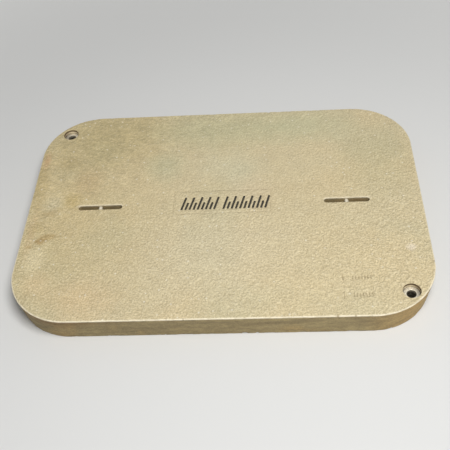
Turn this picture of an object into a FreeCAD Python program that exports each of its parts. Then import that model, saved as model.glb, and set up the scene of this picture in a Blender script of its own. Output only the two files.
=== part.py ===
"""Cover of a cable pit: a cast polymer concrete slab with two pull slots and two bolt holes.

The slab is a rounded rectangle whose sides lean inwards towards the bottom, so that it drops into
the pit's frame and can be lifted out again. It is cast upside down in one piece. Its top is flat.
Its underside has eight drafted pockets, which leave a rim, a spine along the middle and three
cross ribs, and only the rim, the spine and the ribs touch the ground.

Each pull slot lies in the spine, with a steel pin cast across it for a lifting hook. Two opposite
corners have a bolt hole: a round recess for the bolt's head, and a flanged steel bush cast into
the hole below it.

Frame: millimetres, +Z up, origin on the ground in the middle of the underside. X runs along the
cover and Y across it.
"""

import FreeCAD, Part
import math
import os
import re

import Sketcher

DOCUMENT_NAME = "CablePitCover"
PARTS_FOLDER = "parts"
SHEET = "Sizes"
WORKED_OUT = "WorkedOut"

# Driving dimensions in millimetres, and leans in degrees: name, value, meaning
DRIVING_DIMENSIONS = [
    ("cover_length", 900.0, "top face, along X"),
    ("cover_width", 640.0, "top face, along Y"),
    ("cover_height", 64.0, "top face above the ground"),
    ("corner_radius", 137.0, "the cover's corners, at the top face"),
    ("side_lean", 7.0, "lean of the cover's sides, in degrees"),
    ("arris_radius", 2.5, "rounding of the top face's outer edge"),
    ("deck_thickness", 27.0, "slab above the pockets"),
    ("rim_width", 36.0, "rim round the underside"),
    ("spine_width", 54.0, "rib along the middle, which holds the pull slots"),
    ("rib_width", 24.0, "each rib across the underside"),
    ("pocket_lean", 6.0, "lean of the pockets' walls, in degrees"),
    ("pocket_corner", 18.0, "a pocket's corners"),
    ("gusset_radius", 128.0, "the outer pockets' corner beside the cover's corner"),
    ("pocket_chamfer", 8.0, "between a pocket's walls and the deck"),
    ("slot_length", 102.0, "pull slot, end to end"),
    ("slot_width", 13.0, "pull slot"),
    ("slot_depth", 42.0, "pull slot"),
    ("slot_from_end", 168.0, "from the cover's end to a pull slot's middle"),
    ("mouth_chamfer", 1.0, "on the mouths of slots and recesses"),
    ("pin_diameter", 9.5, "lifting pin"),
    ("pin_length", 46.0, "lifting pin"),
    ("pin_below_top", 2.5, "from the top face to the pin's upper side"),
    ("bolt_from_end", 58.0, "from the cover's end to a bolt hole's axis"),
    ("bolt_from_side", 60.0, "from the cover's long side to a bolt hole's axis"),
    ("recess_diameter", 37.0, "recess for the bolt's head"),
    ("recess_depth", 14.0, "top face to the recess's floor"),
    ("bush_bore", 20.0, "hole for the bolt"),
    ("bush_wall", 2.5, "bush round the bolt"),
    ("flange_thickness", 2.5, "bush's flange, which covers the recess's floor"),
    ("bore_chamfer", 0.6, "flange's inner edge, where the bolt enters"),
]

# What follows from the driving dimensions: name, formula, meaning
WORKED_OUT_DIMENSIONS = [
    ("half_length", "cover_length / 2", "middle to the top face's end"),
    ("half_width", "cover_width / 2", "middle to the top face's side"),
    ("side_run", "cover_height * tan(side_lean)", "how far the sides come in from top to bottom"),
    ("pan_half_length", "half_length - side_run - rim_width", "middle to the rim's inner side, along X"),
    ("pan_half_width", "half_width - side_run - rim_width", "middle to the rim's inner side, along Y"),
    ("half_rib", "rib_width / 2", "middle to the first pocket, along X"),
    ("half_spine", "spine_width / 2", "middle to the pockets, along Y"),
    ("pocket_length", "(pan_half_length - 3 * half_rib) / 2", "a pocket, along X"),
    ("inner_pocket_end", "half_rib + pocket_length", "middle to the inner pocket's far wall"),
    ("outer_pocket_start", "inner_pocket_end + rib_width", "middle to the outer pocket's near wall"),
    ("pocket_depth", "cover_height - deck_thickness", "ground to the deck's underside"),
    ("slot_middle", "half_length - slot_from_end", "middle to a pull slot's middle"),
    ("slot_end_radius", "slot_width / 2", "a pull slot's round ends"),
    ("slot_reach", "slot_length / 2 - slot_end_radius", "slot's middle to the centre of its round ends"),
    ("slot_inner_centre", "slot_middle - slot_reach", "middle to the slot's inner round end"),
    ("slot_outer_centre", "slot_middle + slot_reach", "middle to the slot's outer round end"),
    ("pin_radius", "pin_diameter / 2", "lifting pin"),
    ("pin_level", "cover_height - pin_below_top - pin_radius", "ground to the pin's axis"),
    ("bolt_x", "half_length - bolt_from_end", "middle to a bolt hole, along X"),
    ("bolt_y", "half_width - bolt_from_side", "middle to a bolt hole, along Y"),
    ("recess_radius", "recess_diameter / 2", "recess and flange"),
    ("bore_radius", "bush_bore / 2", "bush's bore"),
    ("bush_radius", "bore_radius + bush_wall", "bush's sleeve, and the hole that it is cast into"),
    ("seat_level", "cover_height - recess_depth", "ground to the recess's floor"),
    ("flange_level", "seat_level + flange_thickness", "ground to the flange's upper face"),
    ("bore_mouth_radius", "bore_radius + bore_chamfer", "bush's bore, where the bolt enters"),
    ("bore_mouth_level", "flange_level - bore_chamfer", "ground to the lower end of the bore's chamfer"),
]

NAME_PATTERN = re.compile(r"[a-z]+(?:_[a-z]+)+")
SAME_LEVEL = 1e-4
START, END, CENTRE = 1, 2, 3
ORIGIN = (-1, 1)
X_AXIS = -1


def reference(formula):
    """Turns the names in a formula into references to the sheet or to the worked-out values."""
    driving = {row[0] for row in DRIVING_DIMENSIONS}
    return NAME_PATTERN.sub(
        lambda found: f"{SHEET if found.group() in driving else WORKED_OUT}.{found.group()}", formula
    )


def make_sheet(doc):
    """Puts the driving dimensions into the spreadsheet, one row each."""
    sheet = doc.addObject("Spreadsheet::Sheet", SHEET)
    for row, (name, value, meaning) in enumerate(DRIVING_DIMENSIONS, start=1):
        sheet.set(f"A{row}", meaning)
        sheet.set(f"B{row}", str(value))
        sheet.setAlias(f"B{row}", name)
    doc.recompute()
    return sheet


def make_worked_out(doc):
    """Binds what follows from the driving dimensions to their formulas."""
    values = doc.addObject("App::VarSet", WORKED_OUT)
    for name, formula, meaning in WORKED_OUT_DIMENSIONS:
        values.addProperty("App::PropertyFloat", name, "Dimensions", meaning)
        values.setExpression(name, reference(formula))
        doc.recompute()
    return values


class Cover:
    """The document, with the features that build its bodies from the named dimensions."""

    def __init__(self):
        self.doc = FreeCAD.newDocument(DOCUMENT_NAME)
        self.sheet = make_sheet(self.doc)
        self.worked_out = make_worked_out(self.doc)

    def value(self, name):
        """The present value of a named dimension."""
        owner = self.worked_out if hasattr(self.worked_out, name) else self.sheet
        return float(getattr(owner, name))

    def body(self, name):
        """A new body whose label names its file."""
        body = self.doc.addObject("PartDesign::Body", name)
        body.Label = name
        return body

    def origin_feature(self, body, role):
        """One of the body's own origin planes or axes."""
        return next(item for item in body.Origin.OriginFeatures if item.Role == role)

    def sketch(self, body, name, plane="XY_Plane", level=None):
        """A sketch on one of the body's origin planes, raised to a named level."""
        sketch = body.newObject("Sketcher::SketchObject", name)
        sketch.AttachmentSupport = (self.origin_feature(body, plane), "")
        sketch.MapMode = "FlatFace"
        if level:
            sketch.setExpression("AttachmentOffset.Base.z", reference(level))
        self.doc.recompute()
        return sketch

    def constrain(self, sketch, kind, *geometry, size):
        """Adds a dimension to a sketch and binds it to a named dimension."""
        index = sketch.addConstraint(Sketcher.Constraint(kind, *geometry, self.value(size)))
        sketch.setExpression(f"Constraints[{index}]", reference(size))

    def feature(self, body, kind, name, profile=None, **settings):
        """A feature of the body, with sizes given as names and other settings as they are."""
        made = body.newObject(f"PartDesign::{kind}", name)
        if profile:
            made.Profile = profile
        for key, setting in settings.items():
            if isinstance(setting, str) and NAME_PATTERN.search(setting):
                made.setExpression(key, reference(setting))
            else:
                setattr(made, key, setting)
        body.Tip = made
        self.doc.recompute()
        return made

    def draw_rounded_box(self, sketch, sides, radii):
        """Draws a rectangle with round corners, anticlockwise from its front side.

        sides: left, right, front and back distances from the origin. left and front lie on the
        negative side of the origin where their name starts with a minus sign.
        radii: front right, back right, back left and front left corners.
        """
        signs = [-1 if side.startswith("-") else 1 for side in sides]
        names = [side.lstrip("-") for side in sides]
        left, right, front, back = (sign * self.value(name) for sign, name in zip(signs, names))
        r_fr, r_br, r_bl, r_fl = (self.value(name) for name in radii)
        point = FreeCAD.Vector
        lines = [
            sketch.addGeometry(Part.LineSegment(point(*a, 0), point(*b, 0)))
            for a, b in (
                ((left + r_fl, front), (right - r_fr, front)),
                ((right, front + r_fr), (right, back - r_br)),
                ((right - r_br, back), (left + r_bl, back)),
                ((left, back - r_bl), (left, front + r_fl)),
            )
        ]
        quarter = math.pi / 2
        arcs = []
        for turn, (x, y, radius) in enumerate(
            (
                (right - r_fr, front + r_fr, r_fr),
                (right - r_br, back - r_br, r_br),
                (left + r_bl, back - r_bl, r_bl),
                (left + r_fl, front + r_fl, r_fl),
            ),
            start=-1,
        ):
            circle = Part.Circle(point(x, y, 0), point(0, 0, 1), radius)
            arcs.append(sketch.addGeometry(Part.ArcOfCircle(circle, turn * quarter, (turn + 1) * quarter)))
        for index, line in enumerate(lines):
            sketch.addConstraint(Sketcher.Constraint("Vertical" if index % 2 else "Horizontal", line))
            sketch.addConstraint(Sketcher.Constraint("Tangent", line, END, arcs[index], START))
            following = lines[(index + 1) % len(lines)]
            sketch.addConstraint(Sketcher.Constraint("Tangent", arcs[index], END, following, START))
            self.constrain(sketch, "Radius", arcs[index], size=radii[index])
        for axis, line, sign, name in (
            ("DistanceX", lines[3], signs[0], names[0]),
            ("DistanceX", lines[1], signs[1], names[1]),
            ("DistanceY", lines[0], signs[2], names[2]),
            ("DistanceY", lines[2], signs[3], names[3]),
        ):
            ends = (*ORIGIN, line, START) if sign > 0 else (line, START, *ORIGIN)
            self.constrain(sketch, axis, *ends, size=name)

    def draw_slot(self, sketch):
        """Draws a pull slot on the cover's length axis: two straight sides and two round ends."""
        inner, outer = self.value("slot_inner_centre"), self.value("slot_outer_centre")
        radius = self.value("slot_end_radius")
        point, up = FreeCAD.Vector, FreeCAD.Vector(0, 0, 1)
        quarter_turn = math.pi / 2
        inner_end = sketch.addGeometry(
            Part.ArcOfCircle(Part.Circle(point(inner, 0, 0), up, radius), quarter_turn, 3 * quarter_turn)
        )
        outer_end = sketch.addGeometry(
            Part.ArcOfCircle(Part.Circle(point(outer, 0, 0), up, radius), -quarter_turn, quarter_turn)
        )
        front = sketch.addGeometry(Part.LineSegment(point(inner, -radius, 0), point(outer, -radius, 0)))
        back = sketch.addGeometry(Part.LineSegment(point(outer, radius, 0), point(inner, radius, 0)))
        for a, b in ((inner_end, front), (front, outer_end), (outer_end, back), (back, inner_end)):
            sketch.addConstraint(Sketcher.Constraint("Tangent", a, END, b, START))
        sketch.addConstraint(Sketcher.Constraint("PointOnObject", inner_end, CENTRE, X_AXIS))
        sketch.addConstraint(Sketcher.Constraint("PointOnObject", outer_end, CENTRE, X_AXIS))
        self.constrain(sketch, "Radius", outer_end, size="slot_end_radius")
        self.constrain(sketch, "DistanceX", *ORIGIN, inner_end, CENTRE, size="slot_inner_centre")
        self.constrain(sketch, "DistanceX", *ORIGIN, outer_end, CENTRE, size="slot_outer_centre")

    def draw_circle(self, sketch, radius, x=None, y=None, behind=True):
        """Draws a circle at named distances from the origin, or at the origin."""
        at_x = self.value(x) if x else 0.0
        at_y = (self.value(y) if behind else -self.value(y)) if y else 0.0
        centre = FreeCAD.Vector(at_x, at_y, 0)
        circle = sketch.addGeometry(Part.Circle(centre, FreeCAD.Vector(0, 0, 1), self.value(radius)))
        self.constrain(sketch, "Radius", circle, size=radius)
        if not x and not y:
            sketch.addConstraint(Sketcher.Constraint("Coincident", circle, CENTRE, *ORIGIN))
            return
        self.constrain(sketch, "DistanceX", *ORIGIN, circle, CENTRE, size=x)
        ends = (*ORIGIN, circle, CENTRE) if behind else (circle, CENTRE, *ORIGIN)
        self.constrain(sketch, "DistanceY", *ends, size=y)

    def edges(self, body, chosen):
        """Those edges of the body that a test chooses, in the form that a fillet's Base takes."""
        base = body.Tip
        return base, [f"Edge{n}" for n, edge in enumerate(base.Shape.Edges, start=1) if chosen(edge)]

    def lies_at(self, level):
        """A test for edges that lie at a named level."""
        height = self.value(level)
        return lambda edge: (
            abs(edge.BoundBox.ZMin - height) < SAME_LEVEL and abs(edge.BoundBox.ZMax - height) < SAME_LEVEL
        )

    def lies_inside(self, edge):
        """Whether a whole edge lies well inside the top face's outline."""
        box, margin = edge.BoundBox, 2 * self.value("arris_radius")
        return (
            max(-box.XMin, box.XMax) < self.value("half_length") - margin
            and max(-box.YMin, box.YMax) < self.value("half_width") - margin
        )

    def cut_pockets(self, body):
        """Cuts two drafted pockets beside the middle, and mirrors them to make eight."""
        inner = self.sketch(body, "InnerPocketOutline")
        self.draw_rounded_box(
            inner,
            ("half_rib", "inner_pocket_end", "half_spine", "pan_half_width"),
            ("pocket_corner",) * 4,
        )
        outer = self.sketch(body, "OuterPocketOutline")
        self.draw_rounded_box(
            outer,
            ("outer_pocket_start", "pan_half_length", "half_spine", "pan_half_width"),
            ("pocket_corner", "gusset_radius", "pocket_corner", "pocket_corner"),
        )
        cuts = [
            self.feature(
                body,
                "Pocket",
                name,
                profile=outline,
                Reversed=True,
                Length="pocket_depth",
                TaperAngle="-pocket_lean",
            )
            for name, outline in (("InnerPocket", inner), ("OuterPocket", outer))
        ]
        repeats = body.newObject("PartDesign::MultiTransform", "AllPockets")
        mirrors = []
        for name, role in (("MirrorLengthways", "YZ_Plane"), ("MirrorCrossways", "XZ_Plane")):
            mirror = body.newObject("PartDesign::Mirrored", name)
            mirror.MirrorPlane = (self.origin_feature(body, role), [""])
            mirrors.append(mirror)
        repeats.Originals = cuts
        repeats.Transformations = mirrors
        body.Tip = repeats
        self.doc.recompute()
        ceilings = self.edges(body, self.lies_at("pocket_depth"))
        self.feature(body, "Chamfer", "PocketCeilings", Base=ceilings, Size="pocket_chamfer")

    def cut_pull_slots(self, body):
        """Cuts a pull slot and the hole of its pin, and mirrors both."""
        outline = self.sketch(body, "PullSlotOutline", level="cover_height")
        self.draw_slot(outline)
        slot = self.feature(body, "Pocket", "PullSlot", profile=outline, Length="slot_depth")
        across = self.sketch(body, "PinHoleOutline", plane="XZ_Plane")
        self.draw_circle(across, "pin_radius", x="slot_middle", y="pin_level")
        hole = self.feature(
            body, "Pocket", "PinHole", profile=across, Midplane=True, Length="pin_length"
        )
        self.feature(
            body,
            "Mirrored",
            "BothPullSlots",
            Originals=[slot, hole],
            MirrorPlane=(self.origin_feature(body, "YZ_Plane"), [""]),
        )

    def cut_bolt_holes(self, body):
        """Cuts the front right recess with the hole below it, and turns both to the rear left."""
        cuts = []
        for name, radius, depth in (
            ("BoltRecess", "recess_radius", {"Length": "recess_depth"}),
            ("BushHole", "bush_radius", {"Type": "ThroughAll"}),
        ):
            outline = self.sketch(body, f"{name}Outline", level="cover_height")
            self.draw_circle(outline, radius, x="bolt_x", y="bolt_y", behind=False)
            cuts.append(self.feature(body, "Pocket", name, profile=outline, **depth))
        self.feature(
            body,
            "PolarPattern",
            "BothBoltHoles",
            Originals=cuts,
            Axis=(self.origin_feature(body, "Z_Axis"), [""]),
            Angle=360.0,
            Occurrences=2,
        )

    def make_cover(self):
        """The cast slab."""
        body = self.body("cover")
        outline = self.sketch(body, "TopOutline", level="cover_height")
        self.draw_rounded_box(
            outline, ("-half_length", "half_length", "-half_width", "half_width"), ("corner_radius",) * 4
        )
        self.feature(
            body,
            "Pad",
            "Slab",
            profile=outline,
            Reversed=True,
            Length="cover_height",
            TaperAngle="-side_lean",
        )
        on_top = self.lies_at("cover_height")
        self.feature(body, "Fillet", "Arris", Base=self.edges(body, on_top), Radius="arris_radius")
        self.cut_pockets(body)
        self.cut_pull_slots(body)
        self.cut_bolt_holes(body)
        mouths = self.edges(body, lambda edge: on_top(edge) and self.lies_inside(edge))
        self.feature(body, "Chamfer", "Mouths", Base=mouths, Size="mouth_chamfer")
        return body

    def make_lift_pin(self, name, side):
        """A steel pin across a pull slot. side is 1 to the right of the middle and -1 to its left."""
        body = self.body(name)
        outline = self.sketch(body, f"{name}_section", plane="XZ_Plane")
        self.draw_circle(outline, "pin_radius")
        self.feature(body, "Pad", f"{name}_rod", profile=outline, Midplane=True, Length="pin_length")
        body.setExpression("Placement.Base.x", reference(f"{side} * slot_middle"))
        body.setExpression("Placement.Base.z", reference("pin_level"))
        return body

    def make_bolt_bush(self, name, side):
        """A flanged steel bush. side is 1 for the front right hole and -1 for the rear left one."""
        body = self.body(name)
        section = self.sketch(body, f"{name}_section", plane="XZ_Plane")
        bore, mouth = self.value("bore_radius"), self.value("bore_mouth_radius")
        sleeve, flange = self.value("bush_radius"), self.value("recess_radius")
        seat, top = self.value("seat_level"), self.value("flange_level")
        corners = [
            (bore, 0),
            (sleeve, 0),
            (sleeve, seat),
            (flange, seat),
            (flange, top),
            (mouth, top),
            (bore, self.value("bore_mouth_level")),
        ]
        point = FreeCAD.Vector
        lines = [
            section.addGeometry(Part.LineSegment(point(*a, 0), point(*b, 0)))
            for a, b in zip(corners, corners[1:] + corners[:1])
        ]
        bottom, outside, shoulder, edge, face, chamfer, wall = lines
        for a, b in zip(lines, lines[1:] + lines[:1]):
            section.addConstraint(Sketcher.Constraint("Coincident", a, END, b, START))
        for line in (bottom, shoulder, face):
            section.addConstraint(Sketcher.Constraint("Horizontal", line))
        for line in (outside, edge, wall):
            section.addConstraint(Sketcher.Constraint("Vertical", line))
        section.addConstraint(Sketcher.Constraint("PointOnObject", bottom, START, X_AXIS))
        self.constrain(section, "DistanceX", *ORIGIN, wall, END, size="bore_radius")
        self.constrain(section, "DistanceX", *ORIGIN, outside, START, size="bush_radius")
        self.constrain(section, "DistanceX", *ORIGIN, edge, START, size="recess_radius")
        self.constrain(section, "DistanceX", *ORIGIN, chamfer, START, size="bore_mouth_radius")
        self.constrain(section, "DistanceY", *ORIGIN, edge, START, size="seat_level")
        self.constrain(section, "DistanceY", *ORIGIN, edge, END, size="flange_level")
        self.constrain(section, "DistanceY", *ORIGIN, chamfer, END, size="bore_mouth_level")
        self.feature(
            body,
            "Revolution",
            f"{name}_turned",
            profile=section,
            ReferenceAxis=(section, ["V_Axis"]),
            Angle=360.0,
        )
        body.setExpression("Placement.Base.x", reference(f"{side} * bolt_x"))
        body.setExpression("Placement.Base.y", reference(f"{-side} * bolt_y"))
        return body

    def failed_objects(self):
        """Names of the objects that a recompute has left in error."""
        return [item.Name for item in self.doc.Objects if {"Invalid", "Error"} & set(item.State)]


def main():
    """Builds every piece, tests the document and writes one STEP file for each piece."""
    cover = Cover()
    pieces = [
        cover.make_cover(),
        cover.make_lift_pin("lift_pin_left", -1),
        cover.make_lift_pin("lift_pin_right", 1),
        cover.make_bolt_bush("bolt_bush_front_right", 1),
        cover.make_bolt_bush("bolt_bush_rear_left", -1),
    ]
    cover.doc.recompute()
    failed = cover.failed_objects()
    if failed:
        raise RuntimeError(f"these objects failed: {failed}")
    for piece in pieces:
        if piece.Shape.isNull() or not piece.Shape.isValid() or not piece.Shape.Solids:
            raise RuntimeError(f"{piece.Label} isn't a valid solid")
    os.makedirs(PARTS_FOLDER, exist_ok=True)
    for piece in pieces:
        piece.Shape.exportStep(os.path.join(PARTS_FOLDER, f"{piece.Label}.step"))
        box = piece.Shape.optimalBoundingBox()
        print(
            f"{piece.Label}: {box.XLength:.1f} x {box.YLength:.1f} x {box.ZLength:.1f} mm,"
            f" {piece.Shape.Volume / 1000:.1f} cm3, {len(piece.Shape.Faces)} faces"
        )


main()
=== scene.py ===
"""Dresses the cable pit cover: its cast slab, its steelwork, and the studio that it lies in.

Lengths are in metres and angles in degrees, unless a name says otherwise. +Z points up out of the
cover's top face, X runs along the cover and Y across it, away from the viewer.
"""

import itertools
import logging
import math
from collections.abc import Sequence
from dataclasses import dataclass
from enum import Enum
from typing import TypeAlias

import bpy
import numpy as np
import numpy.typing as npt
from mathutils import Matrix, Vector
from mathutils.geometry import delaunay_2d_cdt

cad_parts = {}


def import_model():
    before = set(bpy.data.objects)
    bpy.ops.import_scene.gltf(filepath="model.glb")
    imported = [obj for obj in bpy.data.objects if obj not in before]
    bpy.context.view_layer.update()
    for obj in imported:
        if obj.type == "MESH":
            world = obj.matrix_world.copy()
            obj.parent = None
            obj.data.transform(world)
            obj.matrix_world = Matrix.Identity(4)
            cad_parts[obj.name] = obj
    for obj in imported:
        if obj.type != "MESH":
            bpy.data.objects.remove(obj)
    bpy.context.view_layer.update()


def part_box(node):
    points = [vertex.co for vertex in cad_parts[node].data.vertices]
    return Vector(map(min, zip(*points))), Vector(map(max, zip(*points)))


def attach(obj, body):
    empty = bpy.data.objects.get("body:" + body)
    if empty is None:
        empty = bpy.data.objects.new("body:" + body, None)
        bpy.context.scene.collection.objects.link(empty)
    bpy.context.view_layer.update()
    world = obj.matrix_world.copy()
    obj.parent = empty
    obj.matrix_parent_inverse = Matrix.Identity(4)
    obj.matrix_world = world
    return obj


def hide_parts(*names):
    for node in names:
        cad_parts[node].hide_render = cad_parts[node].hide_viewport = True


Array = npt.NDArray[np.float64]
Indices = npt.NDArray[np.int64]
Colour = tuple[float, float, float]
Ramp = tuple[tuple[float, float], ...]

MM = 0.001

# Of the points that a sheet is spread over, as shares of their spacing: their random shift, and
# the least distance between them and a loop.
GRID_SHIFT = 0.16
GRID_MARGIN = 0.6
# The area of a triangle that counts as having no width, as a share of its longest side squared.
SLIVER = 1e-4
# What the Delaunay function is asked for, and how near to each other two points count as one.
TRIANGLES_INSIDE = 1
SAME_POINT = 1e-9

log = logging.getLogger("cable_pit_cover")


def screen(red: float, green: float, blue: float) -> Colour:
    """Turns a colour as a screen shows it into the linear light that a shader takes.

    Args:
        red: From 0 to 255, as are green and blue.
        green: See red.
        blue: See red.

    Returns:
        The three linear values, by the sRGB curve.
    """
    levels = (np.array((red, green, blue)) / 255.0).tolist()
    return tuple(v / 12.92 if v < 0.04045 else ((v + 0.055) / 1.055) ** 2.4 for v in levels)


def unevenness(at: Array, cell: float, seed: int) -> Array:
    """Smooth random heights from -1 to 1.

    Random values stand at the corners of square cells. A point takes the mix of its cell's
    corners, weighted by 3 t^2 - 2 t^3 of its place t between them.

    Args:
        at: One row for each point, with one, two or three coordinates.
        cell: A cell's side.
        seed: Chooses the random values.

    Returns:
        One height for each point.
    """
    strides = np.array((1, 131, 17161))[: at.shape[1]]
    table = np.random.default_rng(seed).uniform(-1.0, 1.0, 8192)
    whole = np.floor(at / cell).astype(np.int64)
    part = at / cell - whole
    weight = part * part * (3.0 - 2.0 * part)
    total = np.zeros(len(at))
    for corner in itertools.product((0, 1), repeat=at.shape[1]):
        key = ((whole + corner) * strides).sum(axis=1) % len(table)
        total += table[key] * np.where(corner, weight, 1.0 - weight).prod(axis=1)
    return total


def arc(across: float, level: float, radius: float, start: float, end: float, count: int) -> Array:
    """Points of a profile on an arc: its centre plus the radius, turned from start to end.

    Args:
        across: The centre's distance outwards from the path.
        level: The centre's height.
        radius: The arc's radius.
        start: Angle of the first point, where 0 points outwards and 90 up.
        end: Angle of the last point.
        count: Number of points.

    Returns:
        One row for each point: distance outwards and height.
    """
    turn = np.radians(np.linspace(start, end, count))
    return np.column_stack((across + radius * np.cos(turn), level + radius * np.sin(turn)))


def between(first: Array, last: Array, count: int) -> Array:
    """Points of a profile, evenly spaced on the line between two points, without the two."""
    share = np.linspace(0.0, 1.0, count + 2)[1:-1, None]
    return first + (last - first) * share


def ramp(at: Array | float, stops: Ramp) -> Array:
    """Strengths at given places, on the lines between stops of a place and a strength each."""
    places, strengths = zip(*stops)
    return np.interp(at, places, strengths)


@dataclass(frozen=True)
class Box:
    """The box round a node of the frame."""

    low: Vector
    high: Vector

    @classmethod
    def of(cls, node: str) -> "Box":
        """The box of a node by its name."""
        return cls(*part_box(node))

    @property
    def centre(self) -> Vector:
        """The box's middle."""
        return (self.low + self.high) / 2

    @property
    def half(self) -> Vector:
        """Half of the box's size along each axis."""
        return (self.high - self.low) / 2


@dataclass(frozen=True)
class RoundedBox:
    """A rectangle with round corners, seen from above.

    A circle is a square whose corners have half its side as their radius, and a slot is a
    rectangle whose corners have half its width.
    """

    x: float
    y: float
    half_length: float
    half_width: float
    radii: tuple[float, float, float, float]
    turn: float = 0.0

    @classmethod
    def even(
        cls, x: float, y: float, half_length: float, half_width: float, radius: float, turn: float = 0.0
    ) -> "RoundedBox":
        """A rectangle whose four corners have one radius."""
        return cls(x, y, half_length, half_width, (radius,) * 4, turn)

    @classmethod
    def circle(cls, x: float, y: float, radius: float) -> "RoundedBox":
        """A circle round a point."""
        return cls.even(x, y, radius, radius, radius)

    def turned(self, at: Array, turn: float) -> Array:
        """Turns rows of x and y anticlockwise about the origin."""
        c, s = math.cos(math.radians(turn)), math.sin(math.radians(turn))
        return at @ np.array(((c, s), (-s, c)))

    def distance(self, at: Array) -> Array:
        """How far points lie outside the outline, negative inside.

        With q = |p| - half size + corner radius, the distance is |max(q, 0)| plus
        min(max(q.x, q.y), 0), less the corner radius.

        Args:
            at: One row of x and y for each point.

        Returns:
            One distance for each point.
        """
        local = self.turned(at - (self.x, self.y), -self.turn)
        front_right, back_right, back_left, front_left = self.radii
        on_right, behind = local[:, 0] > 0.0, local[:, 1] > 0.0
        radius = np.where(
            behind, np.where(on_right, back_right, back_left), np.where(on_right, front_right, front_left)
        )
        q = np.abs(local) - (self.half_length, self.half_width) + radius[:, None]
        outside = np.hypot(*np.maximum(q, 0.0).T)
        return outside + np.minimum(q.max(axis=1), 0.0) - radius

    def stretches(self) -> tuple[Array, Array]:
        """The outline's straight and round stretches, by turns, anticlockwise from its front side.

        Returns:
            The length of each stretch, and the angle in radians through which each one turns.
        """
        front_right, back_right, back_left, front_left = self.radii
        straight = (
            2 * self.half_length - front_left - front_right,
            2 * self.half_width - front_right - back_right,
            2 * self.half_length - back_right - back_left,
            2 * self.half_width - back_left - front_left,
        )
        lengths = np.column_stack((straight, np.array(self.radii) * math.pi / 2)).ravel()
        return lengths, np.tile((0.0, math.pi / 2), 4)

    def stations(self, step: float, bend: float) -> Array:
        """Places along the outline for the columns of a strip.

        Args:
            step: The most that neighbours lie apart.
            bend: The most degrees that the outline turns between neighbours.

        Returns:
            Distances along the outline, rising from 0.
        """
        lengths, turns = self.stretches()
        starts = np.concatenate(((0.0,), np.cumsum(lengths)))
        pieces = []
        for length, turn, start in zip(lengths, turns, starts):
            if length > 1e-9:
                count = math.ceil(max(length / step, math.degrees(turn) / bend))
                pieces.append(np.linspace(start, start + length, count, endpoint=False))
        return np.concatenate(pieces)

    def walk(self, along: Array) -> tuple[Array, Array]:
        """Points of the outline and the directions out of it.

        On a corner, the direction turns evenly from one side's to the next, and the point is the
        corner's centre plus the radius in that direction. On a side, the point lies back from the
        next corner's start.

        Args:
            along: Distances along the outline, anticlockwise from the start of its front side.

        Returns:
            One row of x and y for each point, and one for each direction.
        """
        lengths, turns = self.stretches()
        ends = np.cumsum(lengths)
        stretch = np.minimum(np.searchsorted(ends, along, side="right"), len(ends) - 1)
        corner = stretch // 2
        radius = np.array(self.radii)[corner]
        left = ends[stretch] - along
        is_round = turns[stretch] > 0.0
        angle = (corner - 1) * math.pi / 2
        angle = angle + np.where(is_round, math.pi / 2 - left / np.maximum(radius, 1e-12), 0.0)
        outwards = np.column_stack((np.cos(angle), np.sin(angle)))
        onwards = np.column_stack((-np.sin(angle), np.cos(angle)))
        signs = np.array(((1, -1), (1, 1), (-1, 1), (-1, -1)))[corner]
        centres = signs * ((self.half_length, self.half_width) - radius[:, None])
        points = centres + radius[:, None] * outwards - onwards * np.where(is_round, 0.0, left)[:, None]
        return self.turned(points, self.turn) + (self.x, self.y), self.turned(outwards, self.turn)


@dataclass(frozen=True)
class Loop:
    """A closed row of a shell's points, which lies a fixed distance outside a shape."""

    indices: Indices
    shape: RoundedBox
    offset: float

    def distance(self, at: Array) -> Array:
        """How far points lie outside the loop, negative inside."""
        return self.shape.distance(at) - self.offset


class Facing(Enum):
    """Which way a strip or a sheet faces."""

    OUTWARDS = "away from the middle of the path"
    INWARDS = "towards the middle of the path"
    UP = "up"
    DOWN = "down"


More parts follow.
